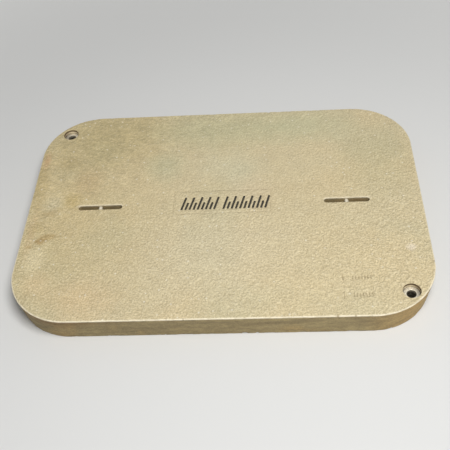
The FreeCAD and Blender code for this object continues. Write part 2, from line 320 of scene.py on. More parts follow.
class Shell:
    """A closed skin, put together from strips and sheets that share their border points."""

    def __init__(self) -> None:
        """Starts with no points."""
        self.points = np.zeros((0, 3))
        self.quads: list[Indices] = []
        self.triangles: list[Indices] = []
        self.marks: dict[str, list[tuple[Indices, Array]]] = {}

    def add(self, points: Array) -> Indices:
        """Adds points.

        Args:
            points: One row of x, y and z for each point.

        Returns:
            The points' numbers.
        """
        first = len(self.points)
        self.points = np.vstack((self.points, points))
        return np.arange(first, len(self.points))

    def mark(self, name: str, indices: Indices, strength: Array | float) -> None:
        """Marks points with a strength from 0 to 1, which a finish reads by the mark's name."""
        strengths = np.broadcast_to(np.asarray(strength, float), indices.shape)
        self.marks.setdefault(name, []).append((indices.ravel(), strengths.ravel()))

    def carry(
        self, shape: RoundedBox, along: Array, profile: Array, facing: Facing, closed: bool = False
    ) -> list[Loop]:
        """Carries a profile along a shape's outline.

        The point in row i and column j is the outline's point at station j, moved outwards by
        the profile's first value i, at the height of its second value.

        Args:
            shape: The outline that the profile follows.
            along: Stations on the outline.
            profile: One row for each point: distance outwards, and height. It runs downwards
                where the strip faces outwards or inwards.
            facing: Outwards or inwards.
            closed: Whether the profile's last point is joined to its first.

        Returns:
            One loop for each point of the profile.
        """
        points, outwards = shape.walk(along)
        flat = points[None] + profile[:, None, :1] * outwards[None]
        height = np.broadcast_to(profile[:, 1, None, None], (*flat.shape[:2], 1))
        grid = self.add(np.concatenate((flat, height), axis=2).reshape(-1, 3)).reshape(flat.shape[:2])
        here = np.vstack((grid, grid[:1])) if closed else grid
        there = np.roll(here, -1, axis=1)
        corners = (here[:-1], here[1:], there[1:], there[:-1])
        if facing is Facing.INWARDS:
            corners = corners[::-1]
        self.quads.append(np.stack(corners, axis=-1).reshape(-1, 4))
        return [Loop(row, shape, offset) for row, offset in zip(grid, profile[:, 0])]

    def spread(self, border: Loop, holes: Sequence[Loop], spacing: float, seed: int) -> Array:
        """Spreads points on a triangular grid, each shifted a little at random.

        They stand wherever they lie more than about half the spacing from every loop.

        Args:
            border: The loop round the points.
            holes: Loops inside it that stay open.
            spacing: Distance between the points.
            seed: Chooses the random shifts.

        Returns:
            One row of x and y for each point.
        """
        edge = self.points[border.indices, :2]
        low, high = edge.min(axis=0), edge.max(axis=0)
        columns = np.arange(low[0], high[0] + spacing, spacing)
        rows = np.arange(low[1], high[1] + spacing, spacing * math.sqrt(3) / 2)
        x, y = np.meshgrid(columns, rows)
        x[1::2] += spacing / 2
        made = np.column_stack((x.ravel(), y.ravel()))
        made += np.random.default_rng(seed).uniform(-GRID_SHIFT, GRID_SHIFT, made.shape) * spacing
        margin = GRID_MARGIN * spacing
        inside = border.distance(made) < -margin
        for hole in holes:
            inside &= hole.distance(made) > margin
        return made[inside]

    def join(self, loops: Sequence[Loop], added: Indices, facing: Facing) -> None:
        """Joins loops and the points between them by the Delaunay rule.

        The holes are convex, so a triangle that has all its corners on one hole's loop lies in
        that hole and is left out. So are slivers, which lie outside the border between points
        in line.

        Args:
            loops: The border, then the holes.
            added: Numbers of the points between them.
            facing: Up or down.
        """
        sizes = [len(loop.indices) for loop in loops]
        numbers = np.concatenate([*(loop.indices for loop in loops), added])
        owner = np.repeat([*range(len(loops)), -1], [*sizes, len(added)])
        edges = []
        for start, size in zip(np.cumsum([0, *sizes[:-1]]), sizes):
            ring = np.arange(start, start + size)
            edges.append(np.column_stack((ring, np.roll(ring, -1))))
        flat = self.points[numbers, :2]
        _, _, faces, sources, _, _ = delaunay_2d_cdt(
            flat.tolist(), np.concatenate(edges).tolist(), [], TRIANGLES_INSIDE, SAME_POINT, True
        )
        origin = np.array([source[0] for source in sources])
        corners = origin[np.array(faces)]
        first = owner[corners[:, 0]]
        in_hole = (first > 0) & (owner[corners] == first[:, None]).all(axis=1)
        sides = flat[np.roll(corners, -1, axis=1)] - flat[corners]
        area = sides[:, 0, 0] * sides[:, 1, 1] - sides[:, 0, 1] * sides[:, 1, 0]
        sliver = np.abs(area) < SLIVER * (sides**2).sum(axis=2).max(axis=1)
        kept = ~(in_hole | sliver)
        corners, area = corners[kept], area[kept]
        wrong = (area < 0.0) if facing is Facing.UP else (area > 0.0)
        corners[wrong] = corners[wrong][:, ::-1]
        self.triangles.append(numbers[corners])

    def cover(
        self, border: Loop, holes: Sequence[Loop], spacing: float, facing: Facing, seed: int = 1
    ) -> Indices:
        """Lays a sheet between loops: points spread over it, at the border's height, and joined.

        Args:
            border: The loop round the sheet.
            holes: Loops inside it that stay open.
            spacing: Distance between the points.
            facing: Up or down.
            seed: Chooses the points' random shifts.

        Returns:
            The numbers of the points that were added between the loops.
        """
        level = self.points[border.indices, 2].mean()
        spread = self.spread(border, holes, spacing, seed)
        added = self.add(np.column_stack((spread, np.full(len(spread), level))))
        self.join([border, *holes], added, facing)
        return added

    def make(self, name: str, crease: float) -> bpy.types.Object:
        """Makes the mesh object.

        Args:
            name: The object's name.
            crease: Edges that bend by more degrees than this stay sharp.

        Returns:
            The object, with its marks as attributes of its points.
        """
        quads = np.concatenate([np.zeros((0, 4), np.int64), *self.quads])
        triangles = np.concatenate([np.zeros((0, 3), np.int64), *self.triangles])
        corners = np.concatenate((quads.ravel(), triangles.ravel()))
        sizes = np.concatenate((np.full(len(quads), 4), np.full(len(triangles), 3)))
        mesh = bpy.data.meshes.new(name)
        mesh.vertices.add(len(self.points))
        mesh.vertices.foreach_set("co", self.points.ravel())
        mesh.loops.add(len(corners))
        mesh.loops.foreach_set("vertex_index", corners)
        mesh.polygons.add(len(sizes))
        mesh.polygons.foreach_set("loop_start", np.concatenate(((0,), np.cumsum(sizes)[:-1])))
        mesh.update(calc_edges=True)
        if mesh.validate():
            raise RuntimeError(f"{name} has faces that aren't sound")
        mesh.shade_smooth()
        mesh.set_sharp_from_angle(angle=math.radians(crease))
        for mark, entries in self.marks.items():
            strengths = np.zeros(len(self.points))
            for indices, values in entries:
                strengths[indices] = np.maximum(strengths[indices], values)
            attribute = mesh.attributes.new(mark, "FLOAT", "POINT")
            attribute.data.foreach_set("value", strengths)
        made = bpy.data.objects.new(name, mesh)
        bpy.context.scene.collection.objects.link(made)
        log.info("%s: %d triangles", name, len(triangles) + 2 * len(quads))
        return made


Operand: TypeAlias = "Field | float | Sequence[float]"


class Field:
    """One socket of a shader, in an expression such as 1 - mask or height * 0.5."""

    def __init__(self, graph: "Graph", socket: bpy.types.NodeSocket) -> None:
        """Wraps an output socket."""
        self.graph = graph
        self.socket = socket

    def __add__(self, other: Operand) -> "Field":
        """The sum."""
        return self.graph.math("ADD", self, other)

    def __sub__(self, other: Operand) -> "Field":
        """The difference."""
        return self.graph.math("SUBTRACT", self, other)

    def __rsub__(self, other: Operand) -> "Field":
        """The difference, with the number first."""
        return self.graph.math("SUBTRACT", other, self)

    def __mul__(self, other: Operand) -> "Field":
        """The product."""
        return self.graph.math("MULTIPLY", self, other)

    def __truediv__(self, other: Operand) -> "Field":
        """The quotient."""
        return self.graph.math("DIVIDE", self, other)

    def __pow__(self, other: Operand) -> "Field":
        """The power."""
        return self.graph.math("POWER", self, other)

    def __abs__(self) -> "Field":
        """The value without its sign."""
        return self.graph.math("ABSOLUTE", self)

    __radd__ = __add__
    __rmul__ = __mul__

    def most(self, other: Operand) -> "Field":
        """The greater of two values."""
        return self.graph.math("MAXIMUM", self, other)

    def rise(self, low: float, high: float) -> "Field":
        """A smooth step: 0 up to low and 1 from high on, or the other way round if low is greater."""
        node = self.graph.node(
            "ShaderNodeMapRange",
            {"interpolation_type": "SMOOTHSTEP"},
            {"Value": self, "From Min": low, "From Max": high},
        )
        return Field(self.graph, node.outputs["Result"])


class Graph:
    """The nodes of a material or of the world."""

    def __init__(self, tree: bpy.types.NodeTree) -> None:
        """Starts the tree afresh."""
        self.tree = tree
        tree.nodes.clear()

    def node(
        self,
        kind: str,
        settings: dict[str, object] | None = None,
        inputs: dict[str | int, Operand] | None = None,
    ) -> bpy.types.Node:
        """Adds a node.

        Args:
            kind: The node's type.
            settings: Its settings by name, which are set first.
            inputs: Values or links of its sockets, by name or by number.

        Returns:
            The node.
        """
        made = self.tree.nodes.new(kind)
        for name, setting in (settings or {}).items():
            setattr(made, name, setting)
        for key, value in (inputs or {}).items():
            socket = made.inputs[key]
            if isinstance(value, Field):
                self.tree.links.new(value.socket, socket)
            elif isinstance(socket.default_value, float | int):
                socket.default_value = value
            else:
                wanted = len(socket.default_value)
                socket.default_value = (*value, 1.0)[:wanted]
        return made

    def math(self, operation: str, *operands: Operand) -> Field:
        """A Math node for an operation on values."""
        node = self.node("ShaderNodeMath", {"operation": operation}, dict(enumerate(operands)))
        return Field(self, node.outputs[0])

    def vector(self, operation: str, *operands: Operand) -> Field:
        """A Vector Math node for an operation on vectors or colours."""
        node = self.node("ShaderNodeVectorMath", {"operation": operation}, dict(enumerate(operands)))
        return Field(self, node.outputs["Vector"])

    def mix(self, share: Operand, first: Operand, second: Operand) -> Field:
        """The mix of two colours: the first where the share is 0 and the second where it is 1."""
        node = self.node("ShaderNodeMix", {"data_type": "RGBA"}, {0: share, 6: first, 7: second})
        return Field(self, node.outputs[2])

    def shade(self, colour: Operand, factor: Field) -> Field:
        """A colour made lighter or darker by a factor."""
        node = self.node(
            "ShaderNodeVectorMath", {"operation": "SCALE"}, {"Vector": colour, "Scale": factor}
        )
        return Field(self, node.outputs["Vector"])

    def place(self) -> Field:
        """The point's place in the object's own coordinates."""
        return Field(self, self.node("ShaderNodeTexCoord").outputs["Object"])

    def split(self, vector: Field) -> list[Field]:
        """The three coordinates of a vector."""
        node = self.node("ShaderNodeSeparateXYZ", inputs={0: vector})
        return [Field(self, output) for output in node.outputs]

    def mark(self, name: str) -> Field:
        """The strength of a mark on the piece's points."""
        return Field(self, self.node("ShaderNodeAttribute", {"attribute_name": name}).outputs["Fac"])

    def noise(self, at: Field, size: float, detail: float = 2.0, seed: float = 0.0) -> Field:
        """Smooth random values from about 0 to 1.

        Args:
            at: Where the pattern is read.
            size: How far apart its patches lie.
            detail: How many finer patterns are laid over it.
            seed: Moves the pattern, so that two of one size differ.

        Returns:
            The values.
        """
        moved = self.vector("ADD", at, (seed, 2.0 * seed, 0.5 * seed)) if seed else at
        node = self.node(
            "ShaderNodeTexNoise", inputs={"Vector": moved, "Scale": 1.0 / size, "Detail": detail}
        )
        return Field(self, node.outputs["Fac"])

    def drift(self, at: Field, size: float) -> Field:
        """Random vectors of up to half a unit each way, which bend a pattern.

        Args:
            at: Where the pattern is read.
            size: How far apart its patches lie.

        Returns:
            The vectors.
        """
        node = self.node("ShaderNodeTexNoise", inputs={"Vector": at, "Scale": 1.0 / size, "Detail": 1.0})
        return self.vector("SUBTRACT", Field(self, node.outputs["Color"]), (0.5, 0.5, 0.5))

    def cells(self, at: Field, size: float, feature: str = "F1", loose: float = 1.0) -> tuple[Field, Field]:
        """Random cells, such as pebbles or specks.

        Args:
            at: Where the pattern is read.
            size: A cell's width.
            feature: F1 or SMOOTH_F1, which is round between cells too.
            loose: 0 for a square grid of cells and 1 for cells placed freely.

        Returns:
            The distance from the nearest cell's middle, as a share of the size, and a random
            value for each cell.
        """
        node = self.node(
            "ShaderNodeTexVoronoi",
            {"feature": feature},
            {"Vector": at, "Scale": 1.0 / size, "Randomness": loose},
        )
        return Field(self, node.outputs["Distance"]), self.split(Field(self, node.outputs["Color"]))[0]

    def surface(self, colour: Operand, roughness: Operand, metallic: float, height: Field) -> None:
        """Ends the tree with a surface.

        Args:
            colour: Its base colour.
            roughness: Its roughness.
            metallic: How much it is bare metal, from 0 to 1.
            height: Its relief in metres.
        """
        bump = self.node("ShaderNodeBump", inputs={"Strength": 1.0, "Distance": 1.0, "Height": height})
        inputs = {
            "Base Color": colour,
            "Roughness": roughness,
            "Metallic": metallic,
            "Normal": Field(self, bump.outputs["Normal"]),
        }
        shader = self.node("ShaderNodeBsdfPrincipled", inputs=inputs)
        self.node("ShaderNodeOutputMaterial", inputs={"Surface": Field(self, shader.outputs["BSDF"])})


def new_material(name: str) -> tuple[bpy.types.Material, Graph]:
    """Makes a material without nodes.

    Args:
        name: The material's name.

    Returns:
        The material and its graph.
    """
    material = bpy.data.materials.new(name)
    material.use_nodes = True
    return material, Graph(material.node_tree)


@dataclass(frozen=True)
class Stain:
    """A soft patch of another colour on the top face.

    It is strongest at its middle and fades out at its reach, which is stretched along the cover.
    """

    x: float
    y: float
    reach: float
    colour: Colour
    strength: float
    stretch: float = 1.0


@dataclass(frozen=True)
class PolymerConcrete:
    """Sand and resin, cast against a pebbled mould on top and a plain one elsewhere."""

    outline: RoundedBox
    height: float
    sand: Colour = screen(210, 195, 157)
    warm_sand: Colour = screen(213, 195, 154)
    green_sand: Colour = screen(198, 190, 155)
    # Dirt with painted shade for the pebbles' hollows, and a painted highlight for their crests.
    hollow_sand_and_shade: Colour = screen(168, 148, 108)
    crest_sand_and_highlight: Colour = screen(233, 222, 193)
    wall_sand: Colour = screen(173, 155, 112)
    wall_shade: Colour = screen(150, 133, 96)
    wall_tan: Colour = screen(194, 158, 98)
    wall_brown: Colour = screen(152, 118, 76)
    # Pale wear and painted highlight, on the arris and on the openings' mouths and walls.
    pale_wear_and_highlight: Colour = screen(253, 241, 212)
    speck: Colour = screen(240, 233, 214)
    broken_face: Colour = screen(168, 150, 116)
    # Dirt and painted shade, for pinholes, grooves, slots and recesses.
    dirt_and_shade: Colour = screen(108, 85, 58)
    paint: Colour = screen(32, 29, 20)
    worn_paint: Colour = screen(56, 50, 35)
    stains: tuple[Stain, ...] = (
        Stain(-0.430, -0.040, 0.420, screen(205, 186, 137), 0.55),
        Stain(-0.290, 0.260, 0.200, screen(184, 169, 122), 0.62, 1.5),
        Stain(-0.445, 0.100, 0.150, screen(178, 158, 108), 0.55, 0.28),
        Stain(0.360, 0.120, 0.190, screen(194, 184, 145), 0.50, 0.7),
        Stain(0.000, -0.150, 0.190, screen(222, 208, 174), 0.45, 1.3),
        Stain(0.330, -0.250, 0.300, screen(216, 200, 160), 0.45, 1.5),
        Stain(0.010, 0.262, 0.110, screen(184, 186, 148), 0.48, 2.4),
        Stain(0.200, 0.262, 0.090, screen(190, 192, 156), 0.45, 1.8),
        Stain(-0.140, 0.130, 0.075, screen(190, 190, 154), 0.45),
        Stain(0.015, 0.115, 0.085, screen(208, 205, 174), 0.42, 1.3),
        Stain(0.065, 0.035, 0.080, screen(214, 196, 165), 0.30),
        Stain(-0.320, 0.085, 0.065, screen(184, 158, 116), 0.42, 0.9),
        Stain(-0.352, 0.022, 0.036, screen(192, 168, 106), 0.50, 1.1),
        Stain(-0.436, 0.165, 0.040, screen(212, 168, 126), 0.45, 0.35),
        Stain(-0.430, -0.080, 0.120, screen(212, 184, 140), 0.40, 0.14),
        Stain(-0.392, 0.012, 0.052, screen(212, 202, 168), 0.50, 0.7),
        Stain(-0.410, -0.150, 0.060, screen(236, 221, 180), 0.55, 0.6),
        Stain(-0.390, -0.225, 0.050, screen(226, 200, 156), 0.45),
        Stain(-0.290, -0.262, 0.085, screen(220, 192, 148), 0.42, 1.4),
        Stain(-0.386, -0.086, 0.014, screen(170, 140, 82), 0.60, 1.9),
        Stain(-0.406, -0.100, 0.013, screen(166, 132, 74), 0.65, 1.5),
        Stain(-0.425, -0.116, 0.009, screen(174, 144, 88), 0.45, 1.8),
        Stain(-0.420, -0.060, 0.030, screen(186, 166, 116), 0.40, 0.9),
        Stain(-0.398, -0.016, 0.016, screen(176, 150, 98), 0.45, 1.7),
        Stain(-0.380, -0.004, 0.012, screen(176, 152, 100), 0.40, 1.5),
        Stain(-0.375, 0.150, 0.045, screen(176, 158, 112), 0.42, 1.2),
        Stain(-0.290, 0.180, 0.070, screen(184, 172, 130), 0.45, 1.2),
        Stain(0.385, -0.130, 0.050, screen(216, 194, 150), 0.25, 1.2),
        Stain(0.406, -0.146, 0.012, screen(236, 222, 196), 0.85, 1.4),
    )
    pebble_size: float = 4.5 * MM
    pebble_relief: float = 0.70 * MM
    ridge_size: float = 3.5 * MM
    swell_size: float = 22 * MM
    swell_relief: float = 0.7 * MM
    grain_size: float = 1.3 * MM
    grain_relief: float = 0.12 * MM
    side_relief: float = 0.5 * MM
    broken_relief: float = 0.8 * MM
    pinhole_depth: float = 0.4 * MM

    def pebbles(self, graph: Graph, bent: Field) -> Field:
        """The mould's pebbles: round-topped cells, with ridges across them.

        Args:
            graph: The material's graph.
            bent: Place on the piece, bent so that the pebbles come out irregular.

        Returns:
            How far their crests stand out, from about -1 to 1.
        """
        away, _ = graph.cells(bent, self.pebble_size, "SMOOTH_F1")
        ridges = graph.noise(bent, self.ridge_size, 1.0, 2.9).rise(0.36, 0.64)
        return (1.0 - away * 2.2) * 0.6 + (ridges - 0.5) * 0.9

    def relief_of_top(self, graph: Graph, at: Field) -> tuple[Field, Field, Field]:
        """The mould's pebbled relief, on wide low swells and with a fine grain.

        Args:
            graph: The material's graph.
            at: Place on the piece.

        Returns:
            The relief in metres, how far the crests stand out, and the painted light and shade on the
            pebbles' slopes: above 0 on a pebble's front side, painted lighter, and below 0 on its rear
            side, painted darker.
        """
        bent = graph.vector("MULTIPLY_ADD", graph.drift(at, 11 * MM), (9 * MM, 9 * MM, 9 * MM), at)
        crest = self.pebbles(graph, bent)
        # Painted relief shading: a pebble's front side is painted lighter and its rear side darker.
        front = crest - self.pebbles(graph, graph.vector("ADD", bent, (1.3 * MM, -2.8 * MM, 0.0)))
        swell = graph.noise(at, self.swell_size, 1.0, 3.1)
        grain = graph.noise(at, self.grain_size, 2.0, 5.3)
        relief = crest * self.pebble_relief + swell * self.swell_relief + grain * self.grain_relief
        return relief, crest, front

    def rim_distance(self, x: Field, y: Field) -> Field:
        """How far a point lies outside the top face's outline, by the rule of RoundedBox.distance.

        Args:
            x: The point's place along the cover.
            y: The point's place across it.

        Returns:
            The distance near the outline, and less than any of interest further in.
        """
        radius = self.outline.radii[0]
        over_x = (abs(x) - (self.outline.half_length - radius)).most(0.0)
        over_y = (abs(y) - (self.outline.half_width - radius)).most(0.0)
        return (over_x * over_x + over_y * over_y) ** 0.5 - radius

    def top_colour(
        self, graph: Graph, at: Field, x: Field, y: Field, crest: Field, front: Field, crisp: Field
    ) -> Field:
        """The top face's colour: sand in soft clouds, with stains, dirt and painted shade in the pebbles'
        hollows, painted highlights on their crests, and painted light and shade on their slopes.

        Args:
            graph: The material's graph.
            at: Place on the piece.
            x: The place along the cover.
            y: The place across it.
            crest: How far the pebbles' crests stand out.
            front: The painted light and shade on the pebbles' slopes: lighter on a pebble's front side,
                darker on its rear side.
            crisp: How little the pebbles are rubbed down.

        Returns:
            The colour.
        """
        clouds = graph.noise(at, 210 * MM, 3.0, 1.7).rise(0.38, 0.66)
        green = graph.noise(at, 190 * MM, 2.0, 7.9).rise(0.46, 0.72)
        colour = graph.mix(clouds, self.sand, self.warm_sand)
        colour = graph.mix(green * 0.6, colour, self.green_sand)
        ragged = graph.noise(at, 30 * MM, 5.0, 2.3) - 0.5
        for stain in self.stains:
            over_x, over_y = (x - stain.x) / stain.stretch, y - stain.y
            away = (over_x * over_x + over_y * over_y) ** 0.5 + ragged * (0.19 * stain.reach + 14 * MM)
            strength = away.rise(stain.reach, 0.1 * stain.reach) * stain.strength
            colour = graph.mix(strength, colour, stain.colour)
        # The hollows are darkened with dirt and painted shade, and the crests paled with a painted
        # highlight.
        colour = graph.mix(crest.rise(-0.02, -0.50) * crisp * 0.25, colour, self.hollow_sand_and_shade)
        colour = graph.mix(crest.rise(0.22, 0.70) * crisp * 0.25, colour, self.crest_sand_and_highlight)
        # Grime lies in blotches that grow stronger towards the rear left.
        grimy = (y - x * 0.9).rise(0.02, 0.50)
        blotches = graph.noise(at, 34 * MM, 4.0, 4.1) - 0.5
        mottle = graph.noise(graph.vector("MULTIPLY", at, (0.6, 1.0, 1.0)), 7 * MM, 3.0, 12.7) - 0.5
        grain = graph.noise(at, 2.4 * MM, 2.0, 6.7) - 0.5
        uneven = blotches * (grimy * 0.24 + 0.18) + mottle * (grimy * 0.68)
        # The pebbles' slopes add painted light and shade to the colour, lighter on their front sides.
        return graph.shade(colour, uneven + (grain * 0.45 + front * 0.125) * crisp + 0.975)

    def side_colour(
        self, graph: Graph, at: Field, x: Field, y: Field, depth: Field, plain: Field
    ) -> Field:
        """The side's colour: sand in streaks, more tan at the front right and brown at the front left.

        Args:
            graph: The material's graph.
            at: Place on the piece.
            x: The place along the cover.
            y: The place across it.
            depth: How far the point lies below the top face.
            plain: The fine unevenness of the side, from about 0 to 1.

        Returns:
            The colour.
        """
        streaks = graph.noise(graph.vector("MULTIPLY", at, (1.0, 1.0, 7.0)), 120 * MM, 4.0, 9.1)
        colour = graph.mix(streaks.rise(0.35, 0.70), self.wall_sand, self.wall_shade)
        corner = (x * 0.8 - y).rise(0.54, 0.62)
        tan = graph.noise(at, 90 * MM, 3.0, 2.9).rise(0.50, 0.70) * 0.35 + corner * 0.6
        colour = graph.mix(tan, colour, self.wall_tan)
        brown = (-0.8 * x - y).rise(0.44, 0.60) * depth.rise(40 * MM, 4 * MM)
        colour = graph.mix(brown * 0.55, colour, self.wall_brown)
        mottle = graph.noise(graph.vector("MULTIPLY", at, (0.5, 0.5, 1.0)), 9 * MM, 4.0, 3.3) - 0.5
        return graph.shade(colour, (plain - 0.5) * 0.80 + mottle * 0.75 + x.rise(-0.42, 0.30) * 0.20 + 0.85)

    def edge_wear_and_highlight(self, graph: Graph, at: Field, x: Field, y: Field, depth: Field) -> Field:
        """How much the top face's edge and the openings' mouths are made pale, by wear and by a painted
        highlight.

        Args:
            graph: The material's graph.
            at: Place on the piece.
            x: The place along the cover.
            y: The place across it.
            depth: How far the point lies below the top face.

        Returns:
            The pale wear and painted highlight, from 0 to about 1. It is strongest along the front.
        """
        scuffs = graph.noise(at, 16 * MM, 3.0, 5.9).rise(0.30, 0.62)
        # The painted highlight on the arris is strongest along the front.
        stronger_at_front = (x * -0.15 - y).rise(-0.15, 0.28) * 0.72 + 0.28
        wavy = self.rim_distance(x, y) + (graph.noise(at, 6 * MM, 2.0, 7.3) - 0.5) * (2.2 * MM)
        band = wavy.rise(-3.8 * MM, -0.9 * MM) * depth.rise(4.2 * MM, 1.6 * MM) * stronger_at_front
        return (band * 1.15).most(graph.mark("wear_and_light")) * (scuffs * 0.4 + 0.6)

    def dress(self) -> bpy.types.Material:
        """Makes the material.

        Returns:
            The material, which reads its marks of dirt and painted shade, paint, broken faces, and wear and
            painted light.
        """
        material, graph = new_material("polymer_concrete")
        at = graph.place()
        x, y, z = graph.split(at)
        depth = self.height - z
        on_top = depth.rise(3.5 * MM, 1.2 * MM)
        relief, crest, front = self.relief_of_top(graph, at)
        # The pebbles are least rubbed down at the front and towards both ends.
        crisp = y.rise(0.15, -0.15) * 0.20 + abs(x + 0.10).rise(0.25, 0.60) * 0.25 + 0.72
        plain = graph.noise(at, 3.5 * MM, 3.0, 8.3)
        side = self.side_colour(graph, at, x, y, depth, plain)
        colour = graph.mix(on_top, side, self.top_colour(graph, at, x, y, crest, front, crisp))

        # Pale specks of gravel, and pinholes that hold dirt.
        away, chance = graph.cells(at, 14 * MM)
        speck = away.rise(0.20, 0.08) * chance.rise(0.34, 0.26) * on_top
        colour = graph.mix(speck * 0.65, colour, self.speck)
        away, chance = graph.cells(graph.vector("ADD", at, (0.3, 0.2, 0.1)), 9 * MM)
        pinhole = away.rise(0.10, 0.05) * chance.rise(0.20, 0.12)
        colour = graph.mix(pinhole * 0.75, colour, self.dirt_and_shade)

        # Wear with painted highlights and light, broken faces, dirt with painted shade, and paint lie over
        # all that.
        dirt_and_shade, paint, broken = (graph.mark(name) for name in ("dirt_and_shade", "paint", "broken"))
        wear_and_light = self.edge_wear_and_highlight(graph, at, x, y, depth)
        colour = graph.mix(wear_and_light, colour, self.pale_wear_and_highlight)
        colour = graph.mix(broken * 0.5, colour, self.broken_face)
        # Dirt and painted shade darken the marked places.
        colour = graph.mix(dirt_and_shade * (graph.noise(at, 7 * MM, 3.0, 3.7) * 0.5 + 0.60), colour, self.dirt_and_shade)
        colour = graph.mix(paint, colour, graph.mix(graph.noise(at, 3 * MM), self.paint, self.worn_paint))

        pebbled = relief * (on_top * crisp * (1.0 - paint * 0.8))
        height = pebbled + plain * self.side_relief - pinhole * self.pinhole_depth
        height = height + broken * graph.noise(at, 2.2 * MM, 3.0, 1.1) * self.broken_relief
        roughness = 0.80 - wear_and_light * 0.22 - paint * 0.15 + dirt_and_shade * 0.1
        graph.surface(colour, roughness, 0.0, height)
        return material


@dataclass(frozen=True)
class WornSteel:
    """Stainless steel, scuffed by bolts and hooks, with rust that has washed in from the bolts."""

    bright: Colour = screen(244, 236, 216)
    dull: Colour = screen(214, 203, 178)
    rust: Colour = screen(112, 66, 38)
    # Dirt and painted shade, darkest in the bores.
    dirt_and_shade: Colour = screen(48, 41, 30)
    metallic: float = 0.7
    dent_size: float = 2.2 * MM
    dent_depth: float = 0.12 * MM

    def dress(self, name: str, rust: float) -> bpy.types.Material:
        """Makes the material.

        Args:
            name: The material's name.
            rust: How much of the metal is stained by rust, from 0 to 1.

        Returns:
            The material, which reads the mark of dirt and painted shade.
        """
        material, graph = new_material(name)
        at = graph.place()
        scuffs = graph.noise(at, 3 * MM, 4.0, 1.3)
        colour = graph.mix(scuffs.rise(0.30, 0.75), self.bright, self.dull)
        rusty = graph.noise(at, 6 * MM, 4.0, 2.7).rise(0.75 - 0.5 * rust, 0.85 - 0.4 * rust)
        colour = graph.mix(rusty * rust, colour, self.rust)
        # The bores, the flanges and the pins' ends are darkened by dirt and painted shade.
        dirt_and_shade = graph.mark("dirt_and_shade") * (graph.noise(at, 4 * MM, 3.0, 4.9) * 0.5 + 0.65)
        colour = graph.mix(dirt_and_shade, colour, self.dirt_and_shade)
        dents = graph.noise(at, self.dent_size, 3.0, 6.1) * self.dent_depth
        graph.surface(colour, scuffs * 0.25 + 0.36 + dirt_and_shade * 0.3, self.metallic, dents)
        return material


@dataclass(frozen=True)
class Chip:
    """A piece that has broken off an edge: where, how long along the edge and how deep."""

    x: float
    y: float
    length: float
    depth: float


@dataclass(frozen=True)
class Bushing:
    """The sizes of a bolt's bush, which the slab's hole for it shares."""

    bore: float = 20 * MM
    wall: float = 2.5 * MM
    flange: float = 2.5 * MM


